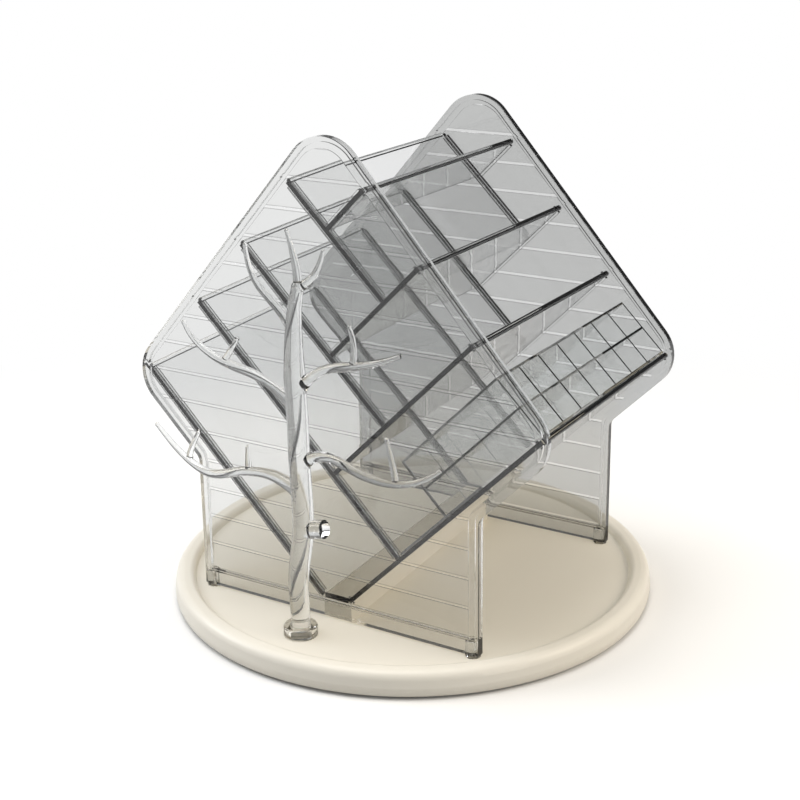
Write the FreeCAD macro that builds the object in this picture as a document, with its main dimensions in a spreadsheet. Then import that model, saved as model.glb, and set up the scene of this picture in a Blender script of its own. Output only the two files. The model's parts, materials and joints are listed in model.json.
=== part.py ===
# House-shaped rotating make-up organizer: a cream turntable that carries two clear gable
# panels, the slanted clear sheets between them, a slide-out lipstick tray and a jewellery tree.
# Frame: +Z up, origin on the turntable's axis at the surface it stands on, front gable towards -Y.
import FreeCAD, Part
import Sketcher
import math
import os

Vector = FreeCAD.Vector
os.makedirs("parts", exist_ok=True)
doc = FreeCAD.newDocument("makeup_organizer")

# ---------------------------------------------------------------- driving dimensions (mm)
SIZES = {
    # turntable
    "dish_radius": 142.0,           # outer wall of the turntable at its widest
    "dish_height": 15.4,            # top of the raised rim above the table
    "dish_clearance": 1.6,          # lower edge of the wall above the table
    "dish_floor_height": 11.0,      # surface that everything stands on
    "dish_floor_wall": 2.2,         # thickness of that floor
    "rim_width": 12.6,              # rim, from its outside to the floor's edge
    "rim_shell": 3.0,               # wall thickness of the rim's skirt
    "rim_relief": 0.4,              # room round what stands on the floor, where the rim is near it
    "rim_rounding": 3.6,
    "rim_outer_rounding": 5.2,
    "rim_inner_slope": 0.9,         # how far the rim's sides lean in towards its top
    "rim_outer_slope": 1.4,
    "floor_corner_rounding": 0.6,
    "wall_bulge": 8.0,              # rounding where the outer wall is widest
    "wall_bulge_height": 3.2,       # above the wall's lower edge
    "wall_undercut": 1.2,           # the wall draws in below the bulge
    "wall_edge_rounding": 0.8,
    "skirt_lean": 1.4,              # inner side of the wall, at its top
    "skirt_rounding": 3.0,
    # stationary base and bearing
    "base_radius": 112.0,
    "base_wall": 2.2,
    "grip_radius": 100.0,           # middle of the rubber ring
    "grip_width": 9.0,
    "grip_height": 2.0,
    "grip_recess": 0.8,
    "hub_radius": 14.0,
    "hub_rise": 0.6,
    "ball_radius": 2.0,
    "ball_track_radius": 70.0,
    "ball_count": 8,
    "race_width": 12.0,
    "race_wall": 1.3,
    "running_fit": 0.05,
    "cage_wall": 1.2,
    "cage_width": 8.0,
    "pin_radius": 3.0,
    "pin_head_radius": 6.0,
    "pin_head_wall": 1.0,
    "pin_head_inset": 0.2,          # head above the base's underside
    "pin_head_gap": 0.5,            # round the head
    "pin_head_room": 0.3,           # above the head
    "washer_radius": 8.0,
    "washer_wall": 0.9,
    # gable panels, heights above the turntable's floor
    "house_depth": 169.0,           # over the outer faces of both panels
    "leg_half_width": 90.5,
    "eave_half_width": 136.5,       # to the sharp corner of the eave
    "eave_height": 125.5,
    "apex_height": 282.5,           # sharp corner of the gable
    "peak_rounding": 23.0,
    "eave_rounding": 22.0,
    "knee_rounding": 6.0,
    "panel_lift": 1.2,
    "panel_wall": 1.8,
    "panel_depth": 5.0,             # depth of the outer band
    "band_width": 3.0,
    "step_width": 3.0,
    "step_depth": 3.0,
    "skirt_height": 8.2,
    "board_pitch": 16.9,            # siding boards
    "board_relief": 0.8,
    "first_board": 10.5,
    # sheets between the panels, heights where each pair meets on the centre plane
    "sheet_wall": 2.5,
    "floor_meeting": 3.5,
    "low_meeting": 86.0,            # the lowest bays keep their height over the floor for the tray
    "peak_bay_drop": 61.0,          # top pair below the apex
    "upper_bay_drop": 68.5,         # middle pair below the top pair
    "lip_radius": 1.6,
    "lip_setback": 5.6,             # lip's outer face inside the roof edge, along the sheet
    "floor_lip_setback": 5.0,
    "groove_depth": 2.4,
    "groove_rib": 1.1,
    "rib_root": 0.4,                # how deep a rib stands in the panel
    "rib_start": 1.5,               # rib's start along its sheet
    "rib_stop": 0.6,                # rib's end short of the lip
    "lip_end_gap": 0.3,             # lips and rail end this far inside the bands
    "cut_overrun": 2.0,             # how far a cut runs past what it cuts
    "seat_gap": 0.1,
    "keel_half_width": 7.5,
    "keel_height": 13.4,
    "keel_wall": 2.4,
    "keel_gap": 0.3,                # keel plate to the floor sheets
    "rail_half_width": 9.2,
    "rail_batter": 0.6,             # how far the rail's sides lean in
    # feet of the panels
    "peg_radius": 4.25,
    "peg_height": 10.0,
    "peg_rounding": 0.8,
    "peg_inset": 4.3,
    "dowel_radius": 2.5,
    "dowel_length": 2.0,
    "dowel_fit": 0.05,
    # lipstick tray
    "tray_wall": 1.3,
    "tray_row": 17.0,               # clear height of one row of cells
    "tray_cells": 7,
    "tray_cell_depth": 79.0,
    "tray_stop_length": 38.0,       # tongue behind the cells that rests on the back wall
    "tray_side_gap": 0.8,
    "tray_gap": 0.2,
    # jewellery tree
    "tree_x": -7.2,
    "tree_y": -107.5,
    "tree_spigot_radius": 5.5,
    "tree_spigot_length": 8.0,
    "collar_radius": 9.4,
    "collar_height": 6.0,
    "collar_fit": 0.3,
    "collar_wall": 1.2,             # round the spigot, inside the turntable's floor
    "collar_rounding": 1.2,
    "collar_reach": 0.4,            # below the turntable's floor
    "spigot_gap": 0.1,              # under the spigot
    "foot_radius": 5.2,
    "trunk_radius": 5.8,
    "stub_radius": 5.1,             # cut-off peg on the trunk, flat at its end
    "crown_radius": 3.2,
    "root_radius": 4.2,             # a branch widens where it leaves the trunk
    "branch_radius": 2.6,
    "twig_radius": 2.0,
    "tip_radius": 1.15,
}

sheet = doc.addObject("Spreadsheet::Sheet", "sizes")
for row, (alias, number) in enumerate(SIZES.items(), start=1):
    sheet.set("A%d" % row, alias)
    sheet.set("B%d" % row, str(number))
    sheet.setAlias("B%d" % row, alias)
doc.recompute()


class Size:
    """A length with the expression that gives it in the document."""

    def __init__(self, number, text):
        self.number = float(number)
        self.text = text

    def __add__(self, other):
        other = as_size(other)
        return Size(self.number + other.number, "(%s + %s)" % (self.text, other.text))

    def __sub__(self, other):
        other = as_size(other)
        return Size(self.number - other.number, "(%s - %s)" % (self.text, other.text))

    def __mul__(self, other):
        other = as_size(other)
        return Size(self.number * other.number, "(%s * %s)" % (self.text, other.text))

    def __truediv__(self, other):
        other = as_size(other)
        return Size(self.number / other.number, "(%s / %s)" % (self.text, other.text))

    def __radd__(self, other):
        return as_size(other) + self

    def __rsub__(self, other):
        return as_size(other) - self

    def __rmul__(self, other):
        return as_size(other) * self

    def __neg__(self):
        return as_size(0) - self


def as_size(value):
    return value if isinstance(value, Size) else Size(value, repr(float(value)))


def size(alias):
    return Size(sheet.get(alias), "sizes." + alias)


def count(alias):
    return int(round(float(sheet.get(alias))))


# ---------------------------------------------------------------- drawing helpers
pieces = []


def keep(item, label):
    item.Label = label
    pieces.append(item)
    return item


def new_body(label):
    return keep(doc.addObject("PartDesign::Body", label), label)


def sketch_on(owner, role, lift=None):
    # a sketch on one of the body's own origin planes, lifted along the plane's normal
    made = owner.newObject("Sketcher::SketchObject", owner.Name + "_outline")
    plane = [item for item in owner.Origin.OriginFeatures if item.Role == role][0]
    made.AttachmentSupport = (plane, [""])
    made.MapMode = "FlatFace"
    if lift is not None:
        made.setExpression(".AttachmentOffset.Base.z", lift.text)
        made.AttachmentOffset = FreeCAD.Placement(Vector(0, 0, lift.number), FreeCAD.Rotation())
    return made


def bind(made, constraint, value):
    index = made.addConstraint(constraint)
    made.setExpression("Constraints[%d]" % index, value.text)


def hold_point(made, geometry, position, across, up):
    # ties one point to the sketch's origin along both axes
    for kind, axis, value in (("DistanceX", -2, as_size(across)), ("DistanceY", -1, as_size(up))):
        if abs(value.number) < 1e-9:
            made.addConstraint(Sketcher.Constraint("PointOnObject", geometry, position, axis))
        elif value.number > 0:
            bind(made, Sketcher.Constraint(kind, -1, 1, geometry, position, value.number), value)
        else:
            flipped = -value
            bind(made, Sketcher.Constraint(kind, geometry, position, -1, 1, flipped.number), flipped)


def draw_circle(made, across, up, radius):
    across, up = as_size(across), as_size(up)
    circle = Part.Circle(Vector(across.number, up.number, 0), Vector(0, 0, 1), radius.number)
    index = made.addGeometry(circle, False)
    hold_point(made, index, 3, across, up)
    bind(made, Sketcher.Constraint("Radius", index, radius.number), radius)


def draw_outline(made, corners):
    # closed outline through the corners; a corner with a radius is rounded by a tangent arc
    total = len(corners)
    where = [Vector(as_size(c[0]).number, as_size(c[1]).number, 0) for c in corners]
    radii = [c[2] if len(c) > 2 else None for c in corners]
    starts, ends, arcs = [], [], []
    for i in range(total):
        arrive = (where[i] - where[i - 1]).normalize()
        leave = (where[(i + 1) % total] - where[i]).normalize()
        turn = arrive.x * leave.y - arrive.y * leave.x
        if radii[i] is None:
            starts.append(where[i])
            ends.append(where[i])
            arcs.append(None)
            continue
        back = radii[i].number * abs(turn) / (1 + arrive.dot(leave))
        side = 1 if turn > 0 else -1
        ends.append(where[i] - arrive * back)
        starts.append(where[i] + leave * back)
        centre = ends[i] + Vector(-arrive.y, arrive.x, 0) * (side * radii[i].number)
        first, last = (ends[i], starts[i]) if side > 0 else (starts[i], ends[i])
        begin = math.atan2(first.y - centre.y, first.x - centre.x)
        finish = math.atan2(last.y - centre.y, last.x - centre.x)
        circle = Part.Circle(centre, Vector(0, 0, 1), radii[i].number)
        arcs.append((Part.ArcOfCircle(circle, begin, finish), side))
    base = made.GeometryCount
    for i in range(total):
        made.addGeometry(Part.LineSegment(starts[i], ends[(i + 1) % total]), False)
    for i in range(total):
        before, after = base + (i - 1) % total, base + i
        across, up = as_size(corners[i][0]), as_size(corners[i][1])
        if arcs[i] is None:
            made.addConstraint(Sketcher.Constraint("Coincident", before, 2, after, 1))
            hold_point(made, after, 1, across, up)
            continue
        arc, side = arcs[i]
        index = made.addGeometry(arc, False)
        near, far = (1, 2) if side > 0 else (2, 1)
        made.addConstraint(Sketcher.Constraint("Tangent", before, 2, index, near))
        made.addConstraint(Sketcher.Constraint("Tangent", index, far, after, 1))
        bind(made, Sketcher.Constraint("Radius", index, radii[i].number), radii[i])
        tip = made.addGeometry(Part.Point(where[i]), True)
        made.addConstraint(Sketcher.Constraint("PointOnObject", tip, 1, before))
        made.addConstraint(Sketcher.Constraint("PointOnObject", tip, 1, after))
        hold_point(made, tip, 1, across, up)


def draw_rectangle(made, left, low, right, high):
    draw_outline(made, [(left, low), (right, low), (right, high), (left, high)])


def pad(owner, made, length, both_ways=False, reverse=False):
    feature = owner.newObject("PartDesign::Pad", owner.Name + "_pad")
    feature.Profile = made
    feature.setExpression("Length", length.text)
    feature.Reversed = reverse
    if both_ways:
        feature.SideType = "Symmetric"
    return feature


def pocket(owner, made, length, both_ways=False, reverse=False):
    feature = owner.newObject("PartDesign::Pocket", owner.Name + "_pocket")
    feature.Profile = made
    feature.setExpression("Length", length.text)
    feature.Reversed = reverse
    if both_ways:
        feature.SideType = "Symmetric"
    return feature


def revolve(owner, made, kind="PartDesign::Revolution"):
    feature = owner.newObject(kind, owner.Name + "_turned")
    feature.Profile = made
    feature.ReferenceAxis = (made, ["V_Axis"])
    feature.Angle = 360.0
    return feature


def place(item, across=0, along=0, up=0, axis=None, angle=0):
    for name, value in (("x", as_size(across)), ("y", as_size(along)), ("z", as_size(up))):
        item.setExpression(".Placement.Base." + name, value.text)
    spin = FreeCAD.Rotation(axis or Vector(0, 0, 1), angle)
    item.Placement = FreeCAD.Placement(
        Vector(as_size(across).number, as_size(along).number, as_size(up).number), spin)
    return item


def box(name, length, width, height):
    made = doc.addObject("Part::Box", name)
    for side, value in (("Length", length), ("Width", width), ("Height", height)):
        made.setExpression(side, as_size(value).text)
    return made


# ---------------------------------------------------------------- levels of the turntable
dish_floor = size("dish_floor_height")
dish_under = dish_floor - size("dish_floor_wall")
base_low = size("grip_height") - size("grip_recess")
base_top = base_low + size("base_wall")
race_top = base_top + size("race_wall")
upper_race_low = dish_under - size("race_wall")
ball_level = (base_top + dish_under) / 2


def make_grip_ring():
    owner = new_body("grip_ring")
    made = sketch_on(owner, "XZ_Plane")
    half = size("grip_width") / 2
    middle = size("grip_radius")
    draw_outline(made, [(middle - half, 0, size("grip_recess")), (middle + half, 0, size("grip_recess")),
                        (middle + half, size("grip_height")), (middle - half, size("grip_height"))])
    revolve(owner, made)


def make_base_plate():
    # stationary disc: groove for the rubber ring below, raised hub with a counterbored hole
    owner = new_body("base_plate")
    made = sketch_on(owner, "XZ_Plane")
    outer = size("base_radius")
    near = size("grip_radius") - size("grip_width") / 2
    far = size("grip_radius") + size("grip_width") / 2
    groove_top = size("grip_height")
    head = size("pin_head_radius") + size("pin_head_gap")
    shaft = size("pin_radius") + size("running_fit")
    counterbore = base_low + size("pin_head_wall") + size("pin_head_room")
    hub_top = base_top + size("hub_rise")
    draw_outline(made, [
        (shaft, counterbore), (head, counterbore), (head, base_low), (near, base_low),
        (near, groove_top), (far, groove_top), (far, base_low), (outer, base_low),
        (outer, base_top, size("hub_rise")), (size("hub_radius"), base_top),
        (size("hub_radius"), hub_top), (shaft, hub_top)])
    revolve(owner, made)


def make_race(label, flat, other):
    # pressed steel ring with a round ball track; flat is the side against its plate
    owner = new_body(label)
    made = sketch_on(owner, "XZ_Plane")
    near = size("ball_track_radius") - size("race_width") / 2
    far = size("ball_track_radius") + size("race_width") / 2
    low, high = (flat, other) if flat.number < other.number else (other, flat)
    draw_rectangle(made, near, low, far, high)
    revolve(owner, made)
    track = sketch_on(owner, "XZ_Plane")
    draw_circle(track, size("ball_track_radius"), ball_level, size("ball_radius") + size("running_fit"))
    revolve(owner, track, "PartDesign::Groove")


def make_ball_cage():
    owner = new_body("ball_cage")
    made = sketch_on(owner, "XZ_Plane")
    half = size("cage_width") / 2
    near, far = size("ball_track_radius") - half, size("ball_track_radius") + half
    low = ball_level - size("cage_wall") / 2
    high = ball_level + size("cage_wall") / 2
    draw_rectangle(made, near, low, far, high)
    revolve(owner, made)
    overrun = size("cut_overrun")
    hole = sketch_on(owner, "XY_Plane", low - overrun / 2)
    draw_circle(hole, size("ball_track_radius"), 0, size("ball_radius") + size("running_fit"))
    cut = pocket(owner, hole, size("cage_wall") + overrun, reverse=True)
    ring = owner.newObject("PartDesign::PolarPattern", "ball_cage_pattern")
    ring.Originals = [cut]
    ring.Axis = (hole, ["N_Axis"])
    ring.Angle = 360.0
    ring.setExpression("Occurrences", "sizes.ball_count")
    owner.Tip = ring


def make_balls():
    total = count("ball_count")
    for i in range(total):
        ball = keep(doc.addObject("Part::Sphere", "bearing_ball_%d" % (i + 1)), "bearing_ball_%d" % (i + 1))
        ball.setExpression("Radius", "sizes.ball_radius")
        turn = 2 * math.pi * i / total
        track = size("ball_track_radius")
        place(ball, track * math.cos(turn), track * math.sin(turn), ball_level)


def make_centre_pin():
    # headed pivot: the head hides in the base's counterbore, the shaft ends inside the dish's boss
    owner = new_body("centre_pin")
    made = sketch_on(owner, "XZ_Plane")
    head_low = base_low + size("pin_head_inset")
    head_top = head_low + size("pin_head_wall")
    top = dish_under
    draw_outline(made, [(0, head_low), (size("pin_head_radius"), head_low),
                        (size("pin_head_radius"), head_top), (size("pin_radius"), head_top),
                        (size("pin_radius"), top), (0, top)])
    revolve(owner, made)


def make_thrust_washer():
    owner = new_body("thrust_washer")
    low = base_top + size("hub_rise")
    made = sketch_on(owner, "XY_Plane", low)
    draw_circle(made, 0, 0, size("washer_radius"))
    draw_circle(made, 0, 0, size("pin_radius") + 2 * size("running_fit"))
    pad(owner, made, size("washer_wall"))


def make_dish():
    # turned dish: flat floor, raised rounded rim, skirt round the base, boss for the pivot
    owner = new_body("turntable_dish")
    made = sketch_on(owner, "XZ_Plane")
    outer = size("dish_radius")
    shell = size("rim_shell")
    inner = outer - size("rim_width")
    top = size("dish_height")
    low = size("dish_clearance")
    edge = outer - size("wall_undercut")
    boss_low = base_top + size("hub_rise") + size("washer_wall") + size("running_fit")
    boss = size("washer_radius")
    bore = size("pin_radius")
    draw_outline(made, [
        (0, dish_floor), (inner, dish_floor, size("floor_corner_rounding")),
        (inner + size("rim_inner_slope"), top, size("rim_rounding")),
        (outer - size("rim_outer_slope"), top, size("rim_outer_rounding")),
        (outer, low + size("wall_bulge_height"), size("wall_bulge")),
        (edge, low, size("wall_edge_rounding")), (edge - shell, low),
        (outer - shell - size("skirt_lean"), dish_under, size("skirt_rounding")),
        (boss, dish_under), (boss, boss_low), (bore, boss_low), (bore, dish_under), (0, dish_under)])
    revolve(owner, made)
    overrun = size("cut_overrun")
    holes = sketch_on(owner, "XY_Plane", dish_under - overrun / 2)
    for across in (-1, 1):
        for along in (-1, 1):
            draw_circle(holes, peg_across * across, peg_along * along,
                        size("dowel_radius") + size("dowel_fit"))
    draw_circle(holes, size("tree_x"), size("tree_y"), size("tree_spigot_radius") + size("collar_fit")
                + size("collar_wall"))
    pocket(owner, holes, size("dish_floor_wall") + overrun, reverse=True)
    # the rim gives way where a peg, the tree's collar or a panel's leg comes up to it
    room = size("rim_relief")
    round_seats = sketch_on(owner, "XY_Plane", dish_floor)
    for across in (-1, 1):
        for along in (-1, 1):
            draw_circle(round_seats, peg_across * across, peg_along * along, size("peg_radius") + room)
    draw_circle(round_seats, size("tree_x"), size("tree_y"), size("collar_radius") + room)
    leg_seats = sketch_on(owner, "XY_Plane", dish_floor)
    leg = size("leg_half_width") + room
    for along in (-1, 1):
        edges = sorted([(band_inside - room) * along, (half_depth + room) * along],
                       key=lambda edge: edge.number)
        draw_rectangle(leg_seats, -leg, edges[0], leg, edges[1])
    for seats in (round_seats, leg_seats):
        pocket(owner, seats, top - dish_floor + overrun, reverse=True)


# ---------------------------------------------------------------- gable panels
SQUARE = math.sqrt(0.5)     # the sheets lean at 45 degrees, so both families cross squarely
half_depth = size("house_depth") / 2
wall_inside = half_depth - size("step_depth")           # inner face of a panel's sheet
band_inside = half_depth - size("panel_depth")
peg_across = size("leg_half_width") - size("peg_inset")
peg_along = half_depth - size("panel_depth") / 2
sheet_half = size("sheet_wall") / 2
low_height = size("low_meeting")        # where each pair of sheets meets
top_height = size("apex_height") - size("peak_bay_drop")
mid_height = top_height - size("upper_bay_drop")


def square_off(height):
    # distance of a sheet's middle plane from the floor's centre point, square to the sheet
    return height * SQUARE


def roof_reach(offset):
    # how far a sheet at this offset runs before it meets the sloping roof edge
    steep = (size("apex_height") - size("eave_height")) / size("eave_half_width")
    return (size("apex_height") / SQUARE + offset * (steep - 1)) / (steep + 1)


def gable_corners():
    knee = size("eave_height") - (size("eave_half_width") - size("leg_half_width"))
    leg, eave = size("leg_half_width"), size("eave_half_width")
    foot = size("panel_lift")
    right = [(leg, foot), (leg, knee, size("knee_rounding")),
             (eave, size("eave_height"), size("eave_rounding"))]
    left = [(-leg, knee, size("knee_rounding")), (-leg, foot)]
    return right + [(as_size(0), size("apex_height"), size("peak_rounding")),
                    (-eave, size("eave_height"), size("eave_rounding"))] + left


def upright_sketch(name):
    made = doc.addObject("Sketcher::SketchObject", name)
    made.Placement = FreeCAD.Placement(Vector(0, 0, 0), FreeCAD.Rotation(Vector(1, 0, 0), 90))
    return made


def inset(name, source, distance):
    made = doc.addObject("Part::Offset2D", name)
    made.Source = source
    made.setExpression("Value", (-distance).text)
    made.Join = 0
    return made


def slab(name, source, depth):
    made = doc.addObject("Part::Extrusion", name)
    made.Base = source
    made.DirMode = "Custom"
    made.Dir = Vector(0, 1, 0)
    made.setExpression("LengthFwd", depth.text)
    made.Solid = True
    return made


def joined(name, items):
    made = doc.addObject("Part::MultiFuse", name)
    made.Shapes = items
    made.Refine = True
    return made


def cut(name, base, tool):
    made = doc.addObject("Part::Cut", name)
    made.Base = base
    made.Tool = tool
    made.Refine = True
    return made


def siding_sheet(name):
    # sheet with lapped boards: each board leans out towards its lower edge
    owner = doc.addObject("PartDesign::Body", name)
    made = sketch_on(owner, "YZ_Plane")
    inside = size("step_depth")
    face = inside - size("panel_wall")
    under = size("panel_lift") - size("cut_overrun")
    boards = int((size("apex_height").number - size("first_board").number) // size("board_pitch").number) + 1
    corners = [(inside, under), (face, under), (face, size("first_board"))]
    for i in range(boards):
        low = size("first_board") + size("board_pitch") * i
        corners += [(face - size("board_relief"), low), (face, low + size("board_pitch"))]
    corners += [(inside, size("first_board") + size("board_pitch") * boards)]
    draw_outline(made, corners)
    pad(owner, made, size("eave_half_width") * 2, both_ways=True)
    return owner


def sheet_runs():
    # every sheet as (family, offset, start, end) along its own slope, measured from the floor centre;
    # family +1 climbs to the right, -1 climbs to the left
    touch = sheet_half + size("seat_gap")
    floor, low = square_off(size("floor_meeting")), square_off(low_height)
    mid, top = square_off(mid_height), square_off(top_height)
    floor_start = (size("keel_half_width") + size("keel_gap")) / SQUARE + floor + sheet_half
    floor_end = (size("eave_half_width") + size("eave_height")) * SQUARE - size("floor_lip_setback")
    back = size("lip_setback")
    return {
        "right_shelf_top": (1, top, top + touch, roof_reach(top) - back),
        "right_shelf_mid": (1, mid, mid + touch, roof_reach(mid) - back),
        "right_shelf_low": (1, low, low + touch, roof_reach(low) - back),
        "right_floor": (1, floor, floor_start, floor_end),
        "left_shelf_top": (-1, top, mid + touch, roof_reach(top) - back),
        "left_shelf_mid": (-1, mid, low + touch, roof_reach(mid) - back),
        "left_shelf_low": (-1, low, floor + touch, roof_reach(low) - back),
        "left_floor": (-1, floor, floor_start, floor_end),
    }


def slope_point(family, run, offset):
    # point of the gable's plane at a run along the slope and an offset square to it
    return (run - offset) * (family * SQUARE), (run + offset) * SQUARE


def leaning_box(name, family, offset, start, end, thick, low, deep):
    # box along a sheet's slope, its thickness centred on the sheet's middle plane
    made = box(name, end - start, deep, thick)
    side = offset - thick / 2 if family > 0 else offset + thick / 2
    across, up = slope_point(family, start, side)
    angle = -45 if family > 0 else -135
    return place(made, across, low, up, Vector(0, 1, 0), angle)


def make_gable(label, mirrored):
    # outer face on y = 0; the sheets' grooves open towards +Y
    flip = -1 if mirrored else 1
    outline = upright_sketch(label + "_outline")
    draw_outline(outline, gable_corners())
    doc.recompute()
    band_inner = inset(label + "_band_inner", outline, size("band_width"))
    step_inner = inset(label + "_step_inner", outline, size("band_width") + size("step_width"))
    boards = doc.addObject("Part::MultiCommon", label + "_boards")
    boards.Shapes = [siding_sheet(label + "_siding"), slab(label + "_blank", outline, size("panel_depth"))]
    band = cut(label + "_band", slab(label + "_band_outer", outline, size("panel_depth")),
               slab(label + "_band_hole", band_inner, size("panel_depth")))
    step = cut(label + "_step", slab(label + "_step_outer", outline, size("step_depth")),
               slab(label + "_step_hole", step_inner, size("step_depth")))
    skirt = place(box(label + "_skirt", size("leg_half_width") * 2 - size("band_width"), size("panel_depth"),
                      size("skirt_height")),
                  size("band_width") / 2 - size("leg_half_width"), 0, size("panel_lift"))
    ribs, grooves = [], []
    overrun = size("cut_overrun")
    for name, (family, offset, start, end) in sheet_runs().items():
        stop = end - size("lip_radius") * 2 - size("rib_stop")
        slot = size("sheet_wall") + size("seat_gap") * 2
        ribs.append(leaning_box(label + "_rib_" + name, family * flip, offset, start + size("rib_start"),
                                stop, slot + size("groove_rib") * 2, size("step_depth") - size("rib_root"),
                                size("groove_depth") + size("rib_root")))
        grooves.append(leaning_box(label + "_slot_" + name, family * flip, offset, start - overrun,
                                   end + size("band_width"), slot, size("step_depth"),
                                   size("groove_depth") + overrun))
    solid = joined(label + "_solid", [boards, band, step, skirt] + ribs)
    slots = joined(label + "_slots", grooves)
    panel = keep(cut(label, solid, slots), label)
    turn = 180 if mirrored else 0
    place(panel, 0, half_depth * (1 if mirrored else -1), dish_floor, Vector(0, 0, 1), turn)


# ---------------------------------------------------------------- sheets between the panels
def make_sheet(label, family, offset, start, end):
    # flat sheet with a round lip under its open edge; drawn flat, then leaned by its Placement
    owner = new_body(label)
    length = end - start
    body_half = wall_inside - size("seat_gap")
    made = sketch_on(owner, "XZ_Plane")
    edge = length - size("lip_radius")
    draw_rectangle(made, 0, -sheet_half, edge, sheet_half)
    pad(owner, made, body_half * 2, both_ways=True)
    lip = sketch_on(owner, "XZ_Plane")
    draw_circle(lip, edge, sheet_half - size("lip_radius"), size("lip_radius"))
    pad(owner, lip, (band_inside - size("lip_end_gap")) * 2, both_ways=True)
    across, up = slope_point(family, start, offset)
    turn = FreeCAD.Rotation(Vector(0, 1, 0), -45)
    place(owner, across, 0, dish_floor + up)
    if family < 0:
        turn = FreeCAD.Rotation(Vector(0, 0, 1), 180).multiply(turn)
    owner.Placement = FreeCAD.Placement(owner.Placement.Base, turn)


def make_keel():
    plate = new_body("keel_plate")
    made = sketch_on(plate, "XZ_Plane")
    top = size("keel_height")
    low = top - size("keel_wall")
    draw_rectangle(made, -size("keel_half_width"), low, size("keel_half_width"), top)
    pad(plate, made, (wall_inside - size("seat_gap")) * 2, both_ways=True)
    place(plate, 0, 0, dish_floor)
    rail = new_body("keel_rail")
    made = sketch_on(rail, "XZ_Plane")
    half, batter = size("rail_half_width"), size("rail_batter")
    draw_outline(made, [(-half, 0), (half, 0), (half - batter, low), (batter - half, low)])
    pad(rail, made, (band_inside - size("lip_end_gap")) * 2, both_ways=True)
    place(rail, 0, 0, dish_floor)


def make_peg(label, across, along):
    # round foot with a slot across it for the panel's corner and a dowel into the turntable
    owner = new_body(label)
    made = sketch_on(owner, "XZ_Plane")
    draw_outline(made, [(0, -size("dowel_length")), (size("dowel_radius"), -size("dowel_length")),
                        (size("dowel_radius"), 0), (size("peg_radius"), 0),
                        (size("peg_radius"), size("peg_height"), size("peg_rounding")),
                        (0, size("peg_height"))])
    revolve(owner, made)
    slot = sketch_on(owner, "YZ_Plane")
    half = size("panel_depth") / 2 + size("seat_gap")
    draw_rectangle(slot, -half, size("panel_lift"), half, size("peg_height") + size("cut_overrun"))
    pocket(owner, slot, size("peg_radius") * 2 + size("cut_overrun"), both_ways=True)
    place(owner, peg_across * across, peg_along * along, dish_floor)


# ---------------------------------------------------------------- lipstick tray
def make_tray():
    # plates of the insert in the tray's own directions: run along the slope, offset square to it
    gap, wall, row = size("tray_gap"), size("tray_wall"), size("tray_row")
    first_run = square_off(low_height) + sheet_half + gap * 2
    cells_run = first_run + size("tray_stop_length")
    open_run = cells_run + size("tray_cell_depth")
    low = square_off(size("floor_meeting")) + sheet_half + gap
    levels = [low, low + wall + row, low + (wall + row) * 2]
    half = wall_inside - size("groove_depth") - size("tray_side_gap")
    deep = half * 2
    pitch = (deep - wall) / count("tray_cells")

    def plate(label, start, end, offset, thick, near, width):
        made = keep(box(label, end - start, width, thick), label)
        across, up = slope_point(1, start, offset)
        place(made, across, near, dish_floor + up, Vector(0, 1, 0), -45)

    plate("tray_floor", first_run, open_run, levels[0], wall, -half, deep)
    plate("tray_middle", cells_run + wall, open_run, levels[1], wall, wall - half, deep - wall * 2)
    plate("tray_roof", cells_run + wall, open_run, levels[2], wall, -half, deep)
    plate("tray_back", cells_run, cells_run + wall, levels[0] + wall, row * 2 + wall * 2, -half, deep)
    for label, near in (("tray_end_front", -half), ("tray_end_rear", half - wall)):
        plate(label, cells_run + wall, open_run, levels[0] + wall, row * 2 + wall, near, wall)
    for i in range(1, count("tray_cells")):
        near = pitch * i - half
        plate("tray_cell_wall_low_%d" % i, cells_run + wall, open_run, levels[0] + wall, row, near, wall)
        plate("tray_cell_wall_high_%d" % i, cells_run + wall, open_run, levels[1] + wall, row, near, wall)


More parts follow.
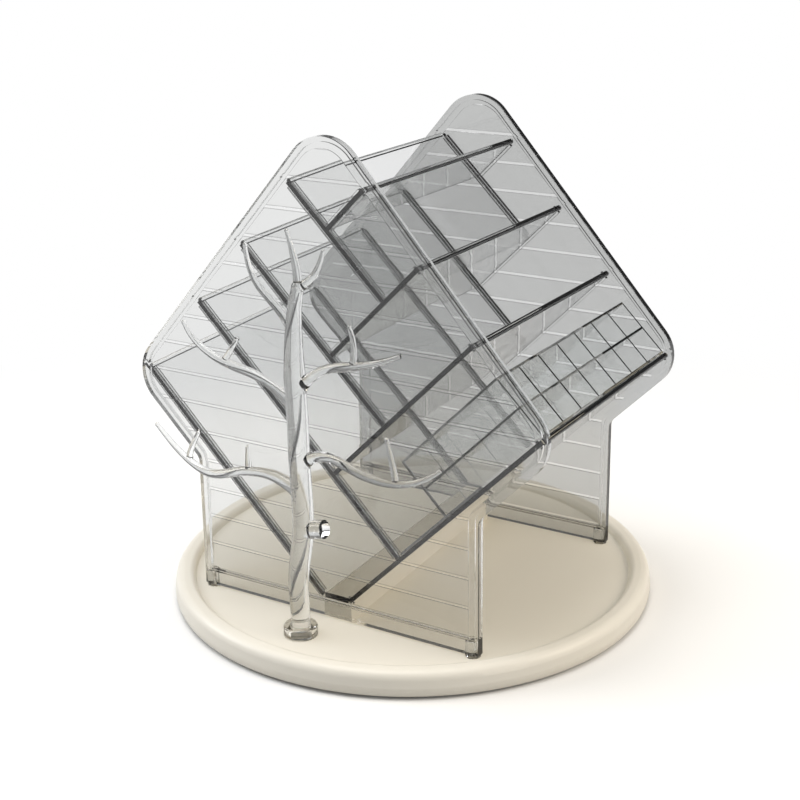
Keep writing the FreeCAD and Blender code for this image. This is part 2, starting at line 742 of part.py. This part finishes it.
# ---------------------------------------------------------------- jewellery tree
# limbs as (points of the limb across and up from the turntable's floor under the trunk,
#           radii from its root to its tip)
BRANCH = ["root_radius", "branch_radius", "branch_radius", "twig_radius", "tip_radius"]
TWIG = ["twig_radius", "tip_radius"]
TOP = ["branch_radius", "twig_radius", "tip_radius"]
LIMBS = {
    "trunk": ([(0, 0), (0.1, 13.7), (-0.1, 33.5), (2.3, 50.1), (4, 61.6), (4.1, 80.2), (3.3, 101.7),
               (3.1, 122.4), (2.3, 144.4), (2.2, 163.4), (2.9, 178.4), (4.5, 190.4), (6.4, 197.4)],
              ["foot_radius", "trunk_radius", "trunk_radius", "trunk_radius", "crown_radius"]),
    "stub": ([(4.1, 63.1), (10.8, 64.7), (17.7, 66.2)], ["stub_radius", "stub_radius"]),
    "low_right": ([(4.1, 98.5), (11.4, 105.5), (20.2, 107.5), (30.1, 105.8), (41.1, 102.5), (51.9, 100.8),
                   (65.1, 101.5), (76.9, 105.6), (89, 113.7)], BRANCH),
    "low_right_twig": ([(62.7, 101.9), (60.8, 111.3), (57.5, 124.2)], TWIG),
    "low_left": ([(2.2, 84.4), (-6, 88.4), (-15.1, 90.6), (-25.6, 90.5), (-37.9, 88.1), (-49.4, 84.3),
                  (-59.4, 83.7), (-68.9, 87), (-79.7, 93.8), (-92.7, 105.4)], BRANCH),
    "low_left_twig": ([(-71, 87.8), (-69.8, 94.5), (-66.9, 100.4), (-63.7, 106.5)], TWIG),
    "low_left_bud": ([(-30.7, 89.8), (-30.6, 96.8), (-30.5, 103.5)], TWIG),
    "mid_left": ([(2.9, 130.7), (-2.6, 135.8), (-8.5, 139.6), (-15.7, 143.1), (-26, 146.5), (-38.1, 148.7),
                  (-47.4, 151.1), (-56.2, 154.9), (-63.7, 160.3), (-69.4, 168.1)], BRANCH),
    "mid_left_twig": ([(-43.5, 150.3), (-39.1, 156.5), (-34.1, 163.9)], TWIG),
    "mid_right": ([(3.3, 139.6), (8.9, 147.1), (16.7, 153.2), (25.3, 157), (35.6, 159.4), (46.3, 162),
                   (57.2, 165.8), (65.9, 169.7)], BRANCH),
    "mid_right_twig": ([(38.1, 160.4), (39.1, 166.4), (38.8, 173.1), (36.8, 180.4)], TWIG),
    "top_left": ([(1.3, 174), (-2.5, 179.9), (-6.7, 184.3), (-12.9, 189.7), (-19.5, 196.2), (-24.1, 205.2),
                  (-26, 215.5)], TOP),
    "top_middle": ([(6.4, 195.9), (5.8, 205.7), (3.8, 215.3), (0.7, 225.8)], TOP),
    "top_right": ([(6.4, 195.9), (11.1, 199.9), (16.3, 204.5), (20.1, 211.1), (22.3, 217.5)], TOP),
}


TIP_SWELL = 1.12    # the blunt round end is a little fuller than the limb it closes


def limb(points, radii, blunt):
    # round tapered limb: a spine through the points with circles square to it, their radii shared out
    # evenly along it; a blunt one ends flat
    spine = Part.BSplineCurve()
    spine.interpolate([Vector(across, 0, up) for across, up in points])
    first, last = spine.FirstParameter, spine.LastParameter
    steps = 2 * len(points) - 1
    rings = []
    for i in range(steps):
        share = i / (steps - 1)
        at = first + (last - first) * share
        centre = spine.value(at)
        reach = share * (len(radii) - 1)
        before = min(int(reach), len(radii) - 2)
        radius = radii[before] + (radii[before + 1] - radii[before]) * (reach - before)
        circle = Part.Circle(centre, spine.tangent(at)[0], radius)
        rings.append(Part.Wire([circle.toShape()]))
    tube = Part.makeLoft(rings, True, False)
    return tube if blunt else tube.fuse(Part.makeSphere(radii[-1] * TIP_SWELL, spine.value(last)))


def make_tree():
    spigot_low = size("collar_height") - size("tree_spigot_length")
    shape = Part.makeCylinder(size("tree_spigot_radius").number, size("tree_spigot_length").number,
                              Vector(0, 0, spigot_low.number))
    for name, (points, widths) in LIMBS.items():
        shape = shape.fuse(limb(points, [size(width).number for width in widths], name == "stub"))
    tree = keep(doc.addObject("Part::Feature", "jewellery_tree"), "jewellery_tree")
    tree.Shape = shape
    place(tree, size("tree_x"), size("tree_y"), dish_floor)


def make_collar():
    # clear socket let into the turntable; the tree's spigot stands in it
    owner = new_body("tree_collar")
    made = sketch_on(owner, "XZ_Plane")
    bore = size("tree_spigot_radius") + size("collar_fit")
    low = -size("dish_floor_wall") - size("collar_reach")
    outer = bore + size("collar_wall")
    bottom = size("collar_height") - size("tree_spigot_length") - size("spigot_gap")
    draw_outline(made, [(0, low), (outer, low), (outer, 0), (size("collar_radius"), 0),
                        (size("collar_radius"), size("collar_height"), size("collar_rounding")),
                        (bore, size("collar_height")), (bore, bottom), (0, bottom)])
    revolve(owner, made)
    place(owner, size("tree_x"), size("tree_y"), dish_floor)


# ---------------------------------------------------------------- build everything
make_grip_ring()
make_base_plate()
make_race("lower_race", base_top, race_top)
make_race("upper_race", dish_under, upper_race_low)
make_ball_cage()
make_balls()
make_centre_pin()
make_thrust_washer()
make_dish()
make_gable("front_panel", False)
make_gable("rear_panel", True)
for sheet_label, (way, gap_offset, run_start, run_end) in sheet_runs().items():
    make_sheet(sheet_label, way, gap_offset, run_start, run_end)
make_keel()
for number, (across, along) in enumerate(((-1, -1), (1, -1), (-1, 1), (1, 1)), start=1):
    make_peg("leg_peg_%d" % number, across, along)
make_tray()
make_collar()
make_tree()
doc.recompute()

for item in doc.Objects:
    if "Invalid" in item.State or "Error" in item.State:
        raise RuntimeError("%s did not build: %s" % (item.Name, item.State))
for item in pieces:
    if item.Shape.isNull() or not item.Shape.isValid():
        raise RuntimeError("%s has no valid shape" % item.Label)
    item.Shape.exportStep("parts/%s.step" % item.Label)
print("pieces:", len(pieces))
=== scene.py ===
import json
import math
import bpy
from mathutils import Matrix, Vector

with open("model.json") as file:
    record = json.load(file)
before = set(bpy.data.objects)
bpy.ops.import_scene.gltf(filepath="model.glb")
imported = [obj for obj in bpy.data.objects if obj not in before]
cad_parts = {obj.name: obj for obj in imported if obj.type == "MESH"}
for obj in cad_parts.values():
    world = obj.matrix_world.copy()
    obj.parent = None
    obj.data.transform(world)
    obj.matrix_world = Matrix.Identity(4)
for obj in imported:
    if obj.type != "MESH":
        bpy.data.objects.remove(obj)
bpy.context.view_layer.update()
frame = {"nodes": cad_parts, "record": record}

nodes = frame["nodes"]
print("frame loaded:", len(nodes), "nodes")


class Wire:
    # one output socket of a shader tree; + - * / ** on wires and numbers add a Math node
    def __init__(self, tree, socket):
        self.tree = tree
        self.socket = socket

    def maths(self, operation, first, second):
        node = self.tree.nodes.new("ShaderNodeMath")
        node.operation = operation
        for place, value in enumerate((first, second)):
            if isinstance(value, Wire):
                self.tree.links.new(value.socket, node.inputs[place])
            else:
                node.inputs[place].default_value = value
        return Wire(self.tree, node.outputs[0])

    def __add__(self, other):
        return self.maths("ADD", self, other)

    def __radd__(self, other):
        return self.maths("ADD", other, self)

    def __sub__(self, other):
        return self.maths("SUBTRACT", self, other)

    def __rsub__(self, other):
        return self.maths("SUBTRACT", other, self)

    def __mul__(self, other):
        return self.maths("MULTIPLY", self, other)

    def __rmul__(self, other):
        return self.maths("MULTIPLY", other, self)

    def __truediv__(self, other):
        return self.maths("DIVIDE", self, other)

    def __pow__(self, other):
        return self.maths("POWER", self, other)


class Paint:
    # a node tree under construction
    def __init__(self, owner):
        owner.use_nodes = True
        self.tree = owner.node_tree
        self.tree.nodes.clear()

    def node(self, kind, settings=None, sockets=None, output=0):
        made = self.tree.nodes.new("ShaderNode" + kind)
        for name, value in (settings or {}).items():
            if name == "stops":        # colour ramp: list of (place, grey)
                ramp = made.color_ramp
                while len(ramp.elements) < len(value):
                    ramp.elements.new(0.5)
                for stop, (place, grey) in zip(ramp.elements, value):
                    stop.position = place
                    stop.color = (grey, grey, grey, 1)
            else:
                setattr(made, name, value)
        for name, value in (sockets or {}).items():
            if isinstance(value, Wire):
                self.tree.links.new(value.socket, made.inputs[name])
            else:
                made.inputs[name].default_value = value
        return Wire(self.tree, made.outputs[output])

    def blend(self, share, first, second):
        # mix of two colours, each a wire or three numbers
        sockets = {0: share}
        for place, colour in ((6, first), (7, second)):
            sockets[place] = colour if isinstance(colour, Wire) else (*colour, 1)
        return self.node("Mix", {"data_type": "RGBA"}, sockets, output=2)

    def between(self, value, low, high):
        # 1 where low < value < high, else 0
        above = self.node("Math", {"operation": "GREATER_THAN"}, {0: value, 1: low})
        return above * self.node("Math", {"operation": "LESS_THAN"}, {0: value, 1: high})

    def coordinate(self, vector, axis):
        return self.node("SeparateXYZ", sockets={0: vector}, output=axis)

    def reach(self, vector, axis):
        # one coordinate of a vector without its sign
        return self.node("Math", {"operation": "ABSOLUTE"}, {0: self.coordinate(vector, axis)})

    def noise(self, place, scale, detail=2.0):
        return self.node("TexNoise", sockets={"Vector": place, "Scale": scale, "Detail": detail})

    def ray(self, kind):
        return self.node("LightPath", output=kind)

    def finish(self, shader, kind="OutputMaterial"):
        out = self.tree.nodes.new("ShaderNode" + kind)
        self.tree.links.new(shader.socket, out.inputs["Surface"])


def material(name):
    made = bpy.data.materials.new(name)
    return made, Paint(made)


# turntable dish and keel rail: satin cream plastic with a faint mottle
cream = {"colour": (0.86, 0.825, 0.745), "shade": (0.82, 0.78, 0.69), "toneScale": 9.0, "toneDetail": 3.0,
         "roughness": 0.38, "roughnessSpread": 0.0, "metallic": 0.0, "gloss": 0.45,
         "grain": 0.03, "grainScale": 900.0, "grainDepth": 0.001}
# hidden parts: bearing, grip ring, washer
steel = {"colour": (0.62, 0.62, 0.64), "shade": (0.52, 0.52, 0.55), "toneScale": 30.0, "toneDetail": 2.0,
         "roughness": 0.25, "roughnessSpread": 0.2, "metallic": 1.0, "gloss": 0.5,
         "grain": 0.05, "grainScale": 1500.0, "grainDepth": 0.0003}
rubber = {"colour": (0.03, 0.03, 0.032), "shade": (0.045, 0.045, 0.046), "toneScale": 30.0, "toneDetail": 2.0,
          "roughness": 0.75, "roughnessSpread": 0.2, "metallic": 0.0, "gloss": 0.5,
          "grain": 0.4, "grainScale": 1200.0, "grainDepth": 0.0003}
nylon = {"colour": (0.86, 0.86, 0.84), "shade": (0.80, 0.80, 0.77), "toneScale": 30.0, "toneDetail": 2.0,
         "roughness": 0.45, "roughnessSpread": 0.2, "metallic": 0.0, "gloss": 0.5,
         "grain": 0.1, "grainScale": 900.0, "grainDepth": 0.0003}


def solidFinish(name, look):
    # opaque finish: slow change of tone, fine grain in the gloss and the surface
    made, paint = material(name)
    place = paint.node("TexCoord", output="Object")
    tone = paint.noise(place, look["toneScale"], look["toneDetail"])
    grain = paint.noise(place, look["grainScale"])
    bump = paint.node("Bump", sockets={
        "Height": grain, "Strength": look["grain"], "Distance": look["grainDepth"]})
    roughness = look["roughness"]
    if look["roughnessSpread"]:
        roughness = roughness + (grain - 0.5) * look["roughnessSpread"]
    paint.finish(paint.node("BsdfPrincipled", sockets={
        "Base Color": paint.blend(tone, look["colour"], look["shade"]), "Roughness": roughness,
        "Metallic": look["metallic"], "Specular IOR Level": look["gloss"], "Normal": bump}))
    return made


# clear polystyrene of the house, tray and tree; the dark colour mixed in where a surface is seen edge-on is
# painted shade
clear = {"rim": (0.08, 0.08, 0.085), "rimShare": 0.9, "ior": 1.5, "roughness": 0.012,
         "ripple": 1.6, "rippleScale": 42.0, "relief": 0.0001, "shadow": (0.85, 0.84, 0.815)}
frontPanel = {"tint": (0.79, 0.795, 0.79), "rimPower": 3.5, "gloss": 0.12, "siding": True}
# painted shade: the rear panel is the same plastic as the front panel, its darker tint stands in for shade
rearPanelShaded = {"tint": (0.51, 0.515, 0.51), "rimPower": 3.5, "gloss": 0.12, "siding": True}
sheets = {"tint": (0.93, 0.935, 0.935), "rimPower": 7.0, "gloss": 0.35, "shadedEnds": True}
tray = {"tint": (0.97, 0.975, 0.975), "rimPower": 7.0, "gloss": 0.35}
fittings = {"tint": (0.95, 0.955, 0.955), "rimPower": 2.4, "gloss": 0.35}       # tree, collar, pegs
# gables: siding boards with a painted highlight on each lower edge between two painted shade lines, and painted
# shade on the walls round the border
gable = {"pitch": 0.0169, "lowest": 0.0215, "edge": 0.0014, "line": 0.0006,
         "paintedHighlight": (1.0, 1.0, 1.0), "paintedShadeLines": (0.45, 0.45, 0.45), "nearest": 0.0830, "farthest": 0.0843,
         "border": 0.0815, "wall": (0.55, 0.55, 0.555)}
# painted shade: the sheets' ends in the panels' grooves are drawn near black
sheetEndShade = {"from": 0.0800, "to": 0.0803, "colour": (0.006, 0.006, 0.007)}   # ends in the panels' grooves


def sidingTintWithPaintedLight(paint, place, tint):
    # a panel's tint with a painted highlight on each siding board's lower edge between two painted shade lines,
    # painted shade on the border walls, and a mask of the painted highlight
    away = paint.reach(place, "Y")
    facing = paint.reach(paint.node("TexCoord", output="Normal"), "Y")
    wall = paint.between(facing, -0.1, 0.5) * paint.between(away, gable["border"], 1.0)
    height = paint.coordinate(place, "Z")
    phase = paint.node("Math", {"operation": "FRACT"}, {0: (height - gable["lowest"]) / gable["pitch"]})
    face = paint.between(away, gable["nearest"], gable["farthest"]) * paint.between(facing, 0.9, 1.1)
    edge, line = gable["edge"] / gable["pitch"], gable["line"] / gable["pitch"]
    # painted highlight on each board's lower edge, painted shade lines on either side of it
    paintedHighlight = paint.between(phase, -0.1, edge) * face
    paintedShadeLines = (paint.between(phase, edge, edge + line) + paint.between(phase, 1.0 - line, 1.1)) * face
    tint = paint.blend(wall, tint, gable["wall"])
    return paint.blend(paintedHighlight, paint.blend(paintedShadeLines, tint, gable["paintedShadeLines"]), gable["paintedHighlight"]), paintedHighlight


def clearFinish(name, look):
    # refracting plastic, with painted shade mixed into its colour where it is seen edge-on, with faint waves of
    # the moulding
    made, paint = material(name)
    place = paint.node("TexCoord", output="Object")
    # painted shade: share of dark colour mixed in where the surface is seen edge-on
    rim = paint.node("LayerWeight", sockets={"Blend": 0.5}, output="Facing") ** look["rimPower"]
    rim = rim * clear["rimShare"]
    height = paint.noise(place, clear["rippleScale"], 1.0) * clear["ripple"]
    if look.get("siding"):
        # on the panels the painted edge-on shade is kept to the border band
        rim = rim * paint.between(paint.reach(place, "Y"), gable["border"], 1.0)
        tint, highlightEdges = sidingTintWithPaintedLight(paint, place, paint.blend(rim, look["tint"], clear["rim"]))
        height = height + highlightEdges
    else:
        tint = paint.blend(rim, look["tint"], clear["rim"])
    bump = paint.node("Bump", sockets={"Height": height, "Strength": 0.5, "Distance": clear["relief"]})
    shader = paint.node("BsdfPrincipled", sockets={
        "Base Color": tint, "Roughness": clear["roughness"], "IOR": clear["ior"],
        "Transmission Weight": 1.0, "Specular IOR Level": look["gloss"], "Normal": bump})
    # painted shade: a near-black diffuse replaces the glass at the sheets' ends
    if look.get("shadedEnds"):
        endShadeMask = paint.node("MapRange", {"interpolation_type": "SMOOTHSTEP"}, {
            "Value": paint.reach(place, "Y"), "From Min": sheetEndShade["from"], "From Max": sheetEndShade["to"]})
        paintedEndShade = paint.node("BsdfDiffuse", sockets={"Color": (*sheetEndShade["colour"], 1)})
        shader = paint.node("MixShader", sockets={0: endShadeMask, 1: shader, 2: paintedEndShade})
    # lamp light and diffuse light pass straight through, for the things behind
    through = paint.node("BsdfTransparent", sockets={"Color": (*clear["shadow"], 1)})
    lighting = paint.node("Math", {"operation": "MAXIMUM"}, {
        0: paint.ray("Is Shadow Ray"), 1: paint.ray("Is Diffuse Ray")})
    paint.finish(paint.node("MixShader", sockets={0: lighting, 1: shader, 2: through}))
    return made


finishes = {
    "cream_plastic": solidFinish("creamPlastic", cream),
    "bearing_steel": solidFinish("bearingSteel", steel),
    "grip_rubber": solidFinish("gripRubber", rubber),
    "nylon": solidFinish("nylonWhite", nylon),
    "clear_plastic": clearFinish("clearFitting", fittings)}
clearSheet = clearFinish("clearSheet", sheets)
clearKinds = {
    "front_panel": clearFinish("clearFront", frontPanel),
    "rear_panel": clearFinish("clearRearShaded", rearPanelShaded),
    "tray": clearFinish("clearTray", tray),
    "shelf": clearSheet, "right_floor": clearSheet, "left_floor": clearSheet, "keel_plate": clearSheet}
for part in frame["record"]["subparts"]:
    slots = nodes[part["node"]].data.materials
    slots.clear()
    kinds = [made for word, made in clearKinds.items() if word in part["node"]]
    slots.append(kinds[0] if kinds else finishes[part["material_slot"]])
print("finishes set")


# studio: pale floor that fades to white; bounceColour is what it gives back to the object
studio = {"floorColour": (0.9, 0.9, 0.9), "bounceColour": (0.5, 0.49, 0.47), "fadeFrom": 0.22,
          "fadeTo": 0.55, "floorHalf": 6.0, "worldColour": (0.96, 0.98, 1.0), "worldLight": 0.42}


def seenDirectly(paint):
    return paint.ray("Is Camera Ray") + paint.ray("Is Transmission Ray") + paint.ray("Is Glossy Ray")


def floorMaterial():
    made, paint = material("studioFloor")
    place = paint.node("TexCoord", output="Object")
    far = paint.node("VectorMath", {"operation": "LENGTH"}, {0: place}, output="Value")
    fade = paint.node("MapRange", {"interpolation_type": "SMOOTHSTEP"}, {
        "Value": far, "From Min": studio["fadeFrom"], "From Max": studio["fadeTo"]})
    dull = paint.node("BsdfDiffuse", sockets={"Color": paint.blend(
        paint.ray("Is Diffuse Ray"), studio["floorColour"], studio["bounceColour"])})
    white = paint.node("Emission", sockets={"Color": (1, 1, 1, 1), "Strength": 1.0})
    paint.finish(paint.node("MixShader", sockets={0: fade * seenDirectly(paint), 1: dull, 2: white}))
    return made


half = studio["floorHalf"]
floorMesh = bpy.data.meshes.new("studioFloor")
floorMesh.from_pydata([(-half, -half, 0), (half, -half, 0), (half, half, 0), (-half, half, 0)],
                      [], [(0, 1, 2, 3)])
floorMesh.materials.append(floorMaterial())
floor = bpy.data.objects.new("studioFloor", floorMesh)
bpy.context.scene.collection.objects.link(floor)

# what gloss and glass see of the room: bright at the horizon, a dark ring above it, then pale again
skyStops = [(0.50, 1.0), (0.57, 0.2), (0.76, 0.15), (0.92, 0.5)]
world = bpy.data.worlds.new("studioWorld")
bpy.context.scene.world = world
paint = Paint(world)
upwards = paint.coordinate(paint.node("TexCoord", output="Generated"), "Z")
sky = paint.node("RGBToBW", sockets={0: paint.node("ValToRGB", {"stops": skyStops}, {0: upwards * 0.5 + 0.5})})
room = paint.node("Background", sockets={
    "Color": (1, 1, 1, 1), "Strength": 1.0 - (1.0 - sky) * (1.0 - paint.ray("Is Camera Ray"))})
light = paint.node("Background", sockets={
    "Color": (*studio["worldColour"], 1), "Strength": studio["worldLight"]})
direct = paint.node("Math", {"operation": "LESS_THAN"}, {0: paint.ray("Diffuse Depth"), 1: 0.5})
paint.finish(paint.node("MixShader", sockets={0: seenDirectly(paint) * direct, 1: light, 2: room}), "OutputWorld")

lamps = {
    "softboxLeft": {"place": (-0.95, -0.35, 0.65), "aim": (0, 0, 0.08), "across": 0.6, "watts": 5.5,
                    "colour": (1.0, 1.0, 1.0)},
    "softboxRight": {"place": (0.95, 0.25, 0.65), "aim": (0, 0, 0.05), "across": 0.6, "watts": 6.0,
                     "colour": (1.0, 0.88, 0.72)},
    "softboxTop": {"place": (-0.1, -0.1, 1.2), "aim": (0, 0, 0), "across": 0.8, "watts": 8.5,
                   "colour": (1.0, 0.99, 0.97)}}
for name, values in lamps.items():
    lamp = bpy.data.lights.new(name, "AREA")
    lamp.energy, lamp.size, lamp.color = values["watts"], values["across"], values["colour"]
    made = bpy.data.objects.new(name, lamp)
    made.location = values["place"]
    made.rotation_euler = (Vector(values["aim"]) - made.location).to_track_quat("-Z", "Y").to_euler()
    bpy.context.scene.collection.objects.link(made)

render = bpy.context.scene.cycles      # a look through the tray crosses many walls
render.max_bounces = render.transmission_bounces = render.transparent_max_bounces = 28
render.caustics_refractive = render.caustics_reflective = False

view = {"azimuth": 31.415, "elevation": 17.986, "roll": -0.838, "distance": 0.8748, "lens": 67.9,
        "aim": (-0.0067, 0.0, 0.13806), "shift": -0.05}
turn, rise, tip = (math.radians(view[key]) for key in ("azimuth", "elevation", "roll"))
back = Vector((math.sin(turn) * math.cos(rise), -math.cos(turn) * math.cos(rise), math.sin(rise)))
right = Vector((math.cos(turn), math.sin(turn), 0))
up = back.cross(right)
across = right * math.cos(tip) + up * math.sin(tip)
upward = up * math.cos(tip) - right * math.sin(tip)
cameraData = bpy.data.cameras.new("productCamera")
cameraData.lens = view["lens"]
cameraData.sensor_width = 36.0
cameraData.shift_y = view["shift"]
cameraData.clip_start, cameraData.clip_end = 0.02, 30
camera = bpy.data.objects.new("productCamera", cameraData)
camera.matrix_world = Matrix.Translation(Vector(view["aim"]) + back * view["distance"]) @ Matrix(
    (across, upward, back)).transposed().to_4x4()
bpy.context.scene.collection.objects.link(camera)
bpy.context.scene.camera = camera
bpy.context.scene.view_settings.view_transform = "Standard"
print("studio and camera set")
